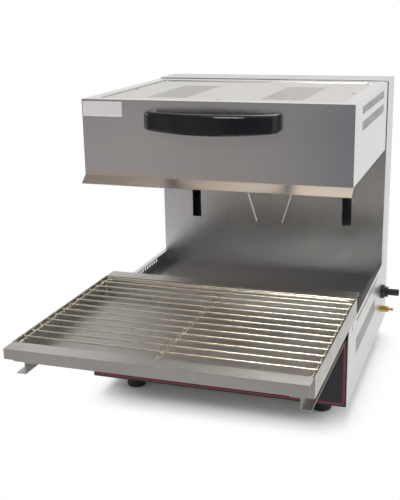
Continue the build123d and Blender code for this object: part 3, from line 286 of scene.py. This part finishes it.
# Cabinet sheets.
# Brushed stainless sheet about 1.2 mm thick, folded and spot-welded: two L-shaped sides,
# deck, column front, rear cover and cap. The grain runs along each sheet's long way.
def grain_group():
    """Fine lines, soft patches, wiped smudges, scuffs, and a painted warm reflection, a patchy
    straw tint below a given height.
    """
    group = bpy.data.node_groups.new("steel_grain", "ShaderNodeTree")
    for name, kind, value in (
        ("Grain", "NodeSocketVector", (8.0, 500.0, 500.0)),
        ("Light", "NodeSocketColor", (0.66, 0.65, 0.63, 1.0)),
        ("Dark", "NodeSocketColor", (0.56, 0.56, 0.57, 1.0)),
        ("Roughness", "NodeSocketFloat", 0.3),
        ("Spread", "NodeSocketFloat", 0.08),
        ("Patch Scale", "NodeSocketFloat", 5.0),
        ("Smudge", "NodeSocketFloat", 0.0),
        ("Scuff", "NodeSocketFloat", 0.0),
        ("Tint", "NodeSocketColor", (0.62, 0.48, 0.32, 1.0)),
        ("Tint Low", "NodeSocketFloat", -2.0),
        ("Tint High", "NodeSocketFloat", -1.0),
    ):
        socket = group.interface.new_socket(name, in_out="INPUT", socket_type=kind)
        socket.default_value = value
    for name, kind in (
        ("Color", "NodeSocketColor"),
        ("Roughness", "NodeSocketFloat"),
        ("Height", "NodeSocketFloat"),
    ):
        group.interface.new_socket(name, in_out="OUTPUT", socket_type=kind)
    given = group.nodes.new("NodeGroupInput").outputs
    place = group.nodes.new("ShaderNodeTexCoord").outputs["Object"]

    def stretched(factors):
        stretch = group.nodes.new("ShaderNodeVectorMath")
        stretch.operation = "MULTIPLY"
        feed(group, stretch.inputs[0], place)
        feed(group, stretch.inputs[1], factors)
        return stretch.outputs[0]

    lines = cloud(group, stretched(given["Grain"]), 1.0, 4.0)
    patches = ramp(group, cloud(group, place, given["Patch Scale"], 2.0), 0.35, 0.65)
    pattern = maths(group, "MULTIPLY_ADD", lines, 0.6, maths(group, "MULTIPLY", patches, 0.4))

    smears = ramp(group, cloud(group, place, 17.0, 5.0), 0.52, 0.70)
    wiped = maths(group, "MULTIPLY", smears, given["Smudge"])
    cracks = group.nodes.new("ShaderNodeTexVoronoi")
    cracks.feature = "DISTANCE_TO_EDGE"
    cracks.inputs["Scale"].default_value = 1.0
    group.links.new(stretched((9.0, 44.0, 52.0)), cracks.inputs["Vector"])
    hairlines = ramp(group, cracks.outputs["Distance"], 0.0, 0.012, 1.0, 0.0)
    worn_places = ramp(group, cloud(group, place, 30.0, 1.0), 0.5, 0.6)
    scuffs = maths(group, "MULTIPLY", hairlines, worn_places)
    scuffs = maths(group, "MULTIPLY", scuffs, given["Scuff"])

    _, _, height = split(group, place)
    # Painted warm reflection: a patchy straw tint laid into the steel's colour below Tint High.
    painted_warm_reflection = ramp(group, height, given["Tint Low"], given["Tint High"], 1.0, 0.0)
    uneven = ramp(group, cloud(group, place, 9.0, 2.0), 0.32, 0.62, 0.15, 1.0)
    colour = blend(group, pattern, given["Dark"], given["Light"])
    colour = blend(group, maths(group, "MULTIPLY", painted_warm_reflection, uneven), colour, given["Tint"])

    swing = maths(group, "SUBTRACT", pattern, 0.5)
    rough = maths(group, "MULTIPLY_ADD", swing, given["Spread"], given["Roughness"])
    rough = maths(group, "ADD", rough, maths(group, "MULTIPLY", wiped, 0.12))
    rough = maths(group, "ADD", rough, maths(group, "MULTIPLY", scuffs, 0.2))
    relief = maths(group, "SUBTRACT", lines, maths(group, "MULTIPLY", scuffs, 0.8))
    result = group.nodes.new("NodeGroupOutput").inputs
    group.links.new(colour, result["Color"])
    group.links.new(rough, result["Roughness"])
    group.links.new(relief, result["Height"])
    return group


steel_grain = grain_group()


def finish(name, grain, light, dark, roughness, spread=0.10, patches=5.0, bump=0.04,
           metallic=1.0, **more):
    """A grained material. The grain is waves per metre: one number, or one each for X, Y, Z."""
    paint = bpy.data.materials.new(name)
    paint.use_nodes = True
    tree = paint.node_tree
    surface = tree.nodes["Principled BSDF"]
    surface.inputs["Metallic"].default_value = metallic
    pattern = tree.nodes.new("ShaderNodeGroup")
    pattern.node_tree = steel_grain
    pattern.inputs["Grain"].default_value = grain if isinstance(grain, tuple) else (grain,) * 3
    pattern.inputs["Light"].default_value = (*light, 1.0)
    pattern.inputs["Dark"].default_value = (*dark, 1.0)
    pattern.inputs["Roughness"].default_value = roughness
    pattern.inputs["Spread"].default_value = spread
    pattern.inputs["Patch Scale"].default_value = patches
    for key, value in more.items():
        pattern.inputs[key.replace("_", " ").title()].default_value = value
    tree.links.new(pattern.outputs["Color"], surface.inputs["Base Color"])
    tree.links.new(pattern.outputs["Roughness"], surface.inputs["Roughness"])
    relief = tree.nodes.new("ShaderNodeBump")
    relief.inputs["Strength"].default_value = bump
    relief.inputs["Distance"].default_value = 0.0002
    tree.links.new(pattern.outputs["Height"], relief.inputs["Height"])
    tree.links.new(relief.outputs["Normal"], surface.inputs["Normal"])
    return paint


def dress(paint, *names):
    for name in names:
        mesh = nodes[name].data
        mesh.materials.clear()
        mesh.materials.append(paint)


side_steel = finish("side_steel", (320, 8, 320), (0.65, 0.64, 0.62), (0.57, 0.57, 0.57), 0.34,
                    spread=0.06, bump=0.015, smudge=0.3)
column_steel = finish("column_steel", (500, 500, 6), (0.60, 0.59, 0.58), (0.48, 0.48, 0.48), 0.30,
                      smudge=0.8, scuff=0.4)
deck_steel = finish("deck_steel", (8, 500, 500), (0.54, 0.53, 0.51), (0.42, 0.41, 0.40), 0.32,
                    smudge=0.8, scuff=0.6)
dress(side_steel, "side_panel_right", "side_panel_left")
dress(column_steel, "back_panel", "rear_panel", "column_cap")
dress(deck_steel, "deck_plate", "front_panel", "bottom_plate")

# Sheet screws.
# Zinc-plated pan-head screws with a cross recess hold the rear cover, and later the hood's cover.
# One head is a squashed dome, cut flat below, with the cross cut out; it is set at each place.
zinc = finish("zinc_plate", 90, (0.62, 0.62, 0.60), (0.48, 0.49, 0.50), 0.36,
              spread=0.15, patches=60, bump=0.05)


def geometry_group(name, *inputs):
    group = bpy.data.node_groups.new(name, "GeometryNodeTree")
    for side in ("OUTPUT", "INPUT"):
        group.interface.new_socket("Geometry", in_out=side, socket_type="NodeSocketGeometry")
    for label, kind, value in inputs:
        socket = group.interface.new_socket(label, in_out="INPUT", socket_type=kind)
        if value is not None:
            socket.default_value = value
    return group, group.nodes.new("NodeGroupInput").outputs


def set_on_points(group, given, shape):
    """Puts the shape on every given point at that point's turn, as plain mesh with its material."""
    link = group.links.new
    turn = group.nodes.new("GeometryNodeInputNamedAttribute")
    turn.data_type = "FLOAT_VECTOR"
    turn.inputs["Name"].default_value = "turn"
    as_turn = group.nodes.new("FunctionNodeEulerToRotation")
    link(turn.outputs["Attribute"], as_turn.inputs[0])
    place = group.nodes.new("GeometryNodeInstanceOnPoints")
    link(given["Geometry"], place.inputs["Points"])
    link(shape, place.inputs["Instance"])
    link(as_turn.outputs[0], place.inputs["Rotation"])
    plain = group.nodes.new("GeometryNodeRealizeInstances")
    link(place.outputs["Instances"], plain.inputs[0])
    paint = group.nodes.new("GeometryNodeSetMaterial")
    link(plain.outputs[0], paint.inputs["Geometry"])
    link(given["Material"], paint.inputs["Material"])
    link(paint.outputs[0], group.nodes.new("NodeGroupOutput").inputs[0])
    return place


def moved(group, shape, way, value):
    step = group.nodes.new("GeometryNodeTransform")
    group.links.new(shape, step.inputs["Geometry"])
    feed(group, step.inputs[way], value)
    return step.outputs[0]


def block(group, x, y, z):
    cube = group.nodes.new("GeometryNodeMeshCube")
    group.links.new(joined(group, x, y, z), cube.inputs["Size"])
    return cube.outputs["Mesh"]


def screw_group():
    group, given = geometry_group(
        "pan_head_screws",
        ("Head Radius", "NodeSocketFloat", 0.0035),
        ("Head Height", "NodeSocketFloat", 0.0018),
        ("Recess Width", "NodeSocketFloat", 0.0010),
        ("Material", "NodeSocketMaterial", None),
    )
    radius, height, recess = given["Head Radius"], given["Head Height"], given["Recess Width"]
    dome = group.nodes.new("GeometryNodeMeshUVSphere")
    dome.inputs["Segments"].default_value = 20
    dome.inputs["Rings"].default_value = 12
    dome.inputs["Radius"].default_value = 1.0
    shape = moved(group, dome.outputs["Mesh"], "Scale", joined(group, radius, radius, height))
    arm = maths(group, "MULTIPLY", radius, 1.15)
    above = joined(group, 0.0, 0.0, height)
    wide = maths(group, "MULTIPLY", radius, 3.0)
    deep = maths(group, "MULTIPLY", height, 2.0)
    below = joined(group, 0.0, 0.0, maths(group, "MULTIPLY", height, -0.98))
    for cut in (
        moved(group, block(group, arm, recess, height), "Translation", above),
        moved(group, block(group, recess, arm, height), "Translation", above),
        moved(group, block(group, wide, wide, deep), "Translation", below),
    ):
        carve = group.nodes.new("GeometryNodeMeshBoolean")
        carve.operation = "DIFFERENCE"
        carve.solver = "EXACT"
        group.links.new(shape, carve.inputs["Mesh 1"])
        group.links.new(cut, carve.inputs["Mesh 2"])
        shape = carve.outputs["Mesh"]
    set_on_points(group, given, shape)
    return group


def add_piece(name, mesh, body):
    piece = bpy.data.objects.new(name, mesh)
    bpy.context.scene.collection.objects.link(piece)
    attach(piece, body)
    return piece


def grown(name, group, points, turns, body, slot, **values):
    """Runs a geometry group over points that carry a turn each, and keeps the plain mesh."""
    seeds = bpy.data.meshes.new(name + "_seeds")
    seeds.from_pydata(points, [], [])
    turn = seeds.attributes.new("turn", "FLOAT_VECTOR", "POINT")
    turn.data.foreach_set("vector", [value for each in turns for value in each])
    holder = bpy.data.objects.new(name + "_seeds", seeds)
    bpy.context.scene.collection.objects.link(holder)
    modifier = holder.modifiers.new("grow", "NODES")
    modifier.node_group = group
    for item in group.interface.items_tree:
        key = item.name.lower().replace(" ", "_")
        if item.in_out == "INPUT" and key in values:
            modifier[item.identifier] = values[key]
    view = bpy.context.evaluated_depsgraph_get()
    mesh = bpy.data.meshes.new_from_object(holder.evaluated_get(view), depsgraph=view)
    holder.modifiers.clear()
    bpy.data.objects.remove(holder)
    mesh.name = name
    return add_piece(name, mesh, body)


pan_heads = screw_group()
rear_face, rear_screw_x = 0.225, 0.216
rear_places = [
    (side * rear_screw_x, rear_face, z) for side in (-1, 1) for z in (0.075, 0.205, 0.335, 0.465)
]
rear_turns = [(-pi / 2, 0.0, 0.3 * i) for i in range(len(rear_places))]
grown("rear_screws", pan_heads, rear_places, rear_turns, "cabinet", "zinc_steel",
      head_radius=0.0038, head_height=0.0022, material=zinc)

# Feet.
# Moulded black rubber cups, each on a zinc-plated screw through the bottom plate.
# They stand on the counter.
rubber = finish("foot_rubber", 60, (0.030, 0.030, 0.031), (0.018, 0.018, 0.019), 0.62,
                spread=0.2, patches=40, bump=0.2, metallic=0.0)
dress(rubber, "feet")
dress(zinc, "foot_screws")

# Control panel.
# Black enamelled plate with an inlaid crimson line near its edge; knob, rocker and two lamps.
# Printed round the knob are the numbers 0 to 6, with four ticks to each step between them.
enamel = finish("black_enamel", 70, (0.018, 0.019, 0.023), (0.010, 0.010, 0.013), 0.24,
                patches=12, bump=0.03, metallic=0.0)
crimson = finish("crimson_line", 70, (0.34, 0.020, 0.055), (0.24, 0.012, 0.035), 0.35,
                 patches=30, bump=0.03, metallic=0.0)
plastic = finish("black_plastic", 220, (0.020, 0.020, 0.021), (0.012, 0.012, 0.013), 0.38,
                 spread=0.12, patches=20, bump=0.08, metallic=0.0)
gloss = finish("gloss_black", 120, (0.012, 0.013, 0.016), (0.006, 0.006, 0.008), 0.09,
               spread=0.04, patches=18, bump=0.02, metallic=0.0)
black_shine = 0.35
for paint in (gloss, enamel):
    surface = paint.node_tree.nodes["Principled BSDF"]
    surface.inputs["Specular IOR Level"].default_value = black_shine
red = finish("rocker_red", 90, (0.45, 0.015, 0.012), (0.33, 0.010, 0.010), 0.25,
             spread=0.08, patches=30, bump=0.02, metallic=0.0)
green_lens = finish("green_lens", 60, (0.02, 0.22, 0.05), (0.01, 0.12, 0.03), 0.12,
                    spread=0.05, patches=30, bump=0.01, metallic=0.0)
amber_lens = finish("amber_lens", 60, (0.60, 0.20, 0.02), (0.42, 0.12, 0.01), 0.12,
                    spread=0.05, patches=30, bump=0.01, metallic=0.0)
cream = finish("cream_plastic", 90, (0.62, 0.60, 0.54), (0.52, 0.50, 0.45), 0.5,
               patches=40, metallic=0.0)
print_white = finish("print_white", 300, (0.74, 0.74, 0.72), (0.62, 0.62, 0.60), 0.55,
                     patches=60, bump=0.05, metallic=0.0)
dress(enamel, "control_fascia")
dress(crimson, "fascia_border")
dress(gloss, "control_knob")
dress(zinc, "regulator_shaft")
dress(plastic, "energy_regulator", "switch_body", "lamp_bezels")
dress(red, "switch_rocker")
dress(green_lens, "power_lamp")
dress(amber_lens, "heating_lamp")
dress(cream, "terminal_block")

capital_share = 0.7
ink_height = 0.00006


def print_marks(name, marks, body, paint):
    """Thin raised print: each mark is (text, height, centre, upward)."""
    whole = bmesh.new()
    for text, height, centre, upward in marks:
        curve = bpy.data.curves.new("mark", "FONT")
        curve.body = text
        curve.size = height / capital_share
        curve.extrude = ink_height
        curve.align_x = "CENTER"
        curve.align_y = "CENTER"
        curve.resolution_u = 4
        letter = bpy.data.objects.new("mark", curve)
        bpy.context.scene.collection.objects.link(letter)
        view = bpy.context.evaluated_depsgraph_get()
        mesh = bpy.data.meshes.new_from_object(letter.evaluated_get(view), depsgraph=view)
        bpy.data.objects.remove(letter)
        x, y = Vector((1, 0, 0)), Vector(upward)
        turn = Matrix((x, y, x.cross(y))).transposed().to_4x4()
        mesh.transform(Matrix.Translation(centre) @ turn)
        whole.from_mesh(mesh)
        bpy.data.meshes.remove(mesh)
    mesh = bpy.data.meshes.new(name)
    whole.to_mesh(mesh)
    whole.free()
    mesh.materials.append(paint)
    add_piece(name, mesh, body)


panel_face = -0.2250
dial_x, dial_z, dial_sweep, dial_steps, ticks_per_step = 0.070, 0.098, radians(280), 6, 4
number_circle, number_height, tick_circle = 0.0315, 0.0046, 0.0252
pointer_face, pointer_rise = -0.24752, 0.0105


def on_dial(circle, angle, y):
    return dial_x + circle * sin(angle), y, dial_z + circle * cos(angle)


print_marks(
    "dial_numbers",
    [
        (str(step), number_height,
         on_dial(number_circle, dial_sweep * step / dial_steps, panel_face - 0.00005), (0, 0, 1))
        for step in range(dial_steps + 1)
    ],
    "cabinet", print_white,
)

rocker_x, rocker_mark_height = -0.110, 0.0032
pressed_y, pressed_z, pressed_slope = -0.22716, 0.1005, (0, -0.4395, 0.8986)
raised_y, raised_z, raised_slope = -0.22636, 0.09474, (0, 0.175, 0.985)
print_marks(
    "rocker_marks",
    [
        ("I", rocker_mark_height, (rocker_x, pressed_y, pressed_z), pressed_slope),
        ("O", rocker_mark_height, (rocker_x, raised_y, raised_z), raised_slope),
    ],
    "rocker", print_white,
)


def tick_group():
    group, given = geometry_group(
        "dial_ticks",
        ("Tick Length", "NodeSocketFloat", 0.003),
        ("Tick Width", "NodeSocketFloat", 0.0006),
        ("Tick Height", "NodeSocketFloat", 0.00016),
        ("Material", "NodeSocketMaterial", None),
    )
    tick = block(group, given["Tick Width"], given["Tick Length"], given["Tick Height"])
    set_on_points(group, given, tick)
    return group


ticks = tick_group()
tick_count = dial_steps * ticks_per_step
tick_angles = [dial_sweep * step / tick_count for step in range(tick_count + 1)]
grown("dial_ticks", ticks, [on_dial(tick_circle, angle, panel_face) for angle in tick_angles],
      [(pi / 2, angle, 0.0) for angle in tick_angles], "cabinet", "pale_plastic",
      tick_length=0.0026, tick_width=0.0005, material=print_white)
grown("knob_pointer", ticks, [(dial_x, pointer_face, dial_z + pointer_rise)],
      [(pi / 2, 0.0, 0.0)], "knob", "pale_plastic",
      tick_length=0.0110, tick_width=0.0012, material=print_white)

# Column rods.
# Two slim bright steel wires that slant in towards each other down the column front.
# They stand a little off it, with their ends turned back into it.
bright = finish("bright_wire", 60, (0.86, 0.85, 0.82), (0.74, 0.74, 0.73), 0.24,
                spread=0.08, patches=40, bump=0.02)
dress(bright, "panel_rods")

# Heater head.
# A folded stainless hood with a joggled rim; its slotted cover sits in the rim under six screws.
# A painted warm reflection tints the steel straw along the bottom lip. A small pale plate is fixed
# at a front corner.
lip_bottom, lip_top = 0.396, 0.410
# The straw tint between lip_bottom and lip_top is a painted warm reflection on the lip.
head_steel = finish("head_steel", (6, 320, 320), (0.62, 0.61, 0.595), (0.55, 0.55, 0.555), 0.25,
                    spread=0.06, patches=4.0, bump=0.012,
                    tint=(0.62, 0.55, 0.47, 1.0), tint_low=lip_bottom, tint_high=lip_top)
cover_steel = finish("cover_steel", (6, 500, 500), (0.62, 0.60, 0.575), (0.54, 0.53, 0.51), 0.36,
                     spread=0.08, bump=0.015, smudge=0.3)
dress(head_steel, "head_shell")
dress(cover_steel, "head_cover")
dress(gloss, "handle")
dress(zinc, "mount_plate", "handle_screws", "cover_screws")

cover_top, cover_side_x = 0.5227, 0.193
front_screw_y, middle_screw_y, rear_screw_y = -0.1864, -0.055, 0.098
hood_places = [
    (0, front_screw_y, cover_top), (0, rear_screw_y, cover_top),
    (-cover_side_x, middle_screw_y, cover_top), (cover_side_x, middle_screw_y, cover_top),
    (-cover_side_x, rear_screw_y, cover_top), (cover_side_x, rear_screw_y, cover_top),
]
hood_turns = [(0.0, 0.0, 0.5 * i) for i in range(len(hood_places))]
hood_screws = grown("hood_screws", pan_heads, hood_places, hood_turns, "heater_head", "zinc_steel",
                    head_radius=0.0035, head_height=0.0020, material=zinc)
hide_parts("cover_screws")


def plate(name, low, high, y, thickness, radius, body, paint):
    """A flat plate on an upright face: rounded corners, bevelled front edge, raised border."""
    shape = bmesh.new()
    rings = []
    corners = (
        (high[0] - radius, high[1] - radius), (low[0] + radius, high[1] - radius),
        (low[0] + radius, low[1] + radius), (high[0] - radius, low[1] + radius),
    )
    corner_steps = 6
    for inset, depth in ((0.0, 0.0), (0.0, 0.7), (0.0004, 1.0), (0.0016, 1.0), (0.0020, 0.8)):
        reach = radius - inset
        front = y - thickness * depth
        ring = []
        for quarter, (x, z) in enumerate(corners):
            for step in range(corner_steps + 1):
                a = (quarter + step / corner_steps) * pi / 2
                ring.append(shape.verts.new((x + reach * cos(a), front, z + reach * sin(a))))
        rings.append(ring)
    for outer, inner in zip(rings, rings[1:]):
        for i in range(len(outer)):
            j = (i + 1) % len(outer)
            shape.faces.new((outer[i], inner[i], inner[j], outer[j]))
    shape.faces.new(rings[-1])
    shape.faces.new(list(reversed(rings[0])))
    bmesh.ops.recalc_face_normals(shape, faces=shape.faces)
    mesh = bpy.data.meshes.new(name)
    shape.to_mesh(mesh)
    shape.free()
    mesh.materials.append(paint)
    add_piece(name, mesh, body)


head_front = -0.2174
badge_low, badge_high = (-0.2222, 0.4966), (-0.153, 0.5208)
badge_thickness, badge_corner = 0.0008, 0.0022
badge_paint = finish("badge_plate", 300, (0.86, 0.79, 0.81), (0.78, 0.72, 0.74), 0.42,
                     patches=30, bump=0.03, metallic=0.15)
plate("badge_plate", badge_low, badge_high, head_front, badge_thickness, badge_corner,
      "heater_head", badge_paint)

# Hot side.
# A bright trough reflector, two serpentine sheathed elements on hangers, and a mineral pad above.
# They fill the hood's open underside.
sheath = finish("element_sheath", 40, (0.22, 0.19, 0.16), (0.10, 0.09, 0.08), 0.50,
                spread=0.15, patches=25, bump=0.06)
pad = finish("mineral_pad", 150, (0.74, 0.70, 0.62), (0.60, 0.56, 0.48), 0.9,
             patches=40, bump=0.5, metallic=0.0)
trough = finish("reflector_steel", (6, 500, 500), (0.60, 0.56, 0.50), (0.46, 0.42, 0.37), 0.30,
                spread=0.15, patches=7.0, smudge=1.0, scuff=0.4)
dress(trough, "reflector")
dress(sheath, "element_front", "element_rear")
dress(zinc, "element_hangers")
dress(pad, "insulation_pad")

# Lift mechanism.
# Inside the column: two ground guide rods, a folded carriage on bushed blocks, two gas springs.
# The lift arms are bolted to the carriage and reach the hood through the column's slots.
cast = finish("cast_alloy", 40, (0.58, 0.58, 0.59), (0.46, 0.46, 0.47), 0.5,
              spread=0.15, patches=60, bump=0.2)
bronze = finish("bronze_bush", 60, (0.50, 0.34, 0.16), (0.38, 0.25, 0.11), 0.4,
                patches=40, bump=0.05)
dress(bright, "guide_rods", "spring_rods")
dress(zinc, "rod_brackets", "stop_collars", "spring_brackets", "spring_anchors", "lift_arms",
      "arm_bolts", "lift_carriage")
dress(cast, "guide_blocks")
dress(bronze, "guide_bushes")
dress(enamel, "spring_cylinders")

# Drip tray and runners.
# A folded satin stainless pan with overhanging flanges.
# Two folded runners are fixed under it and slide with it.
tray_steel = finish("tray_steel", (6, 500, 500), (0.53, 0.515, 0.49), (0.43, 0.415, 0.395), 0.43,
                    spread=0.08, patches=6.0, bump=0.02, smudge=1.0, scuff=0.6)
dress(tray_steel, "drip_tray", "runner_left", "runner_right")

# Wire rack.
# Nickel-plated rods: a bent frame, cross wires and two centre rods.
# A small weld bead joins them at each crossing.
nickel = finish("nickel_wire", 50, (0.84, 0.79, 0.67), (0.70, 0.65, 0.55), 0.22,
                spread=0.08, patches=60, bump=0.03)
dress(nickel, "rack_frame", "rack_wires", "rack_centre_rods")


def bead_group():
    group, given = geometry_group(
        "weld_beads",
        ("Bead Radius", "NodeSocketFloat", 0.0017),
        ("Flatness", "NodeSocketFloat", 0.7),
        ("Seed", "NodeSocketInt", 4),
        ("Material", "NodeSocketMaterial", None),
    )
    bead = group.nodes.new("GeometryNodeMeshUVSphere")
    bead.inputs["Segments"].default_value = 8
    bead.inputs["Rings"].default_value = 5
    group.links.new(given["Bead Radius"], bead.inputs["Radius"])
    flat = joined(group, 1.0, 1.2, given["Flatness"])
    place = set_on_points(group, given, moved(group, bead.outputs["Mesh"], "Scale", flat))
    vary = group.nodes.new("FunctionNodeRandomValue")
    vary.data_type = "FLOAT_VECTOR"
    vary.inputs[0].default_value = (0.85, 0.85, 0.85)
    vary.inputs[1].default_value = (1.15, 1.25, 1.15)
    group.links.new(given["Seed"], vary.inputs["Seed"])
    group.links.new(vary.outputs[0], place.inputs["Scale"])
    return group


weld = finish("weld_nickel", 300, (0.80, 0.73, 0.60), (0.55, 0.49, 0.39), 0.36,
              spread=0.2, patches=200, bump=0.15)
wire_count, wire_pitch, rear_wire_y, crossing_z = 13, 0.024769, -0.158, 0.1984
side_rod_x, centre_rod_x = 0.2185, 0.0025
crossings = [
    (x, rear_wire_y - wire_pitch * i, crossing_z)
    for i in range(wire_count) for x in (-side_rod_x, -centre_rod_x, centre_rod_x, side_rod_x)
]
grown("rack_welds", bead_group(), crossings, [(0.0, 0.0, 0.0)] * len(crossings), "rack",
      "nickel_wire", bead_radius=0.0015, flatness=0.7, seed=4, material=weld)

# Electrical entry.
# Black moulded gland with its locknut, and a brass bonding stud with nuts and washers.
# Both go through the right side panel and are held by their nuts.
brass = finish("brass", 80, (0.80, 0.58, 0.22), (0.62, 0.42, 0.14), 0.26, patches=60)
dress(plastic, "supply_gland", "gland_locknut")
dress(brass, "earth_stud", "earth_nuts")
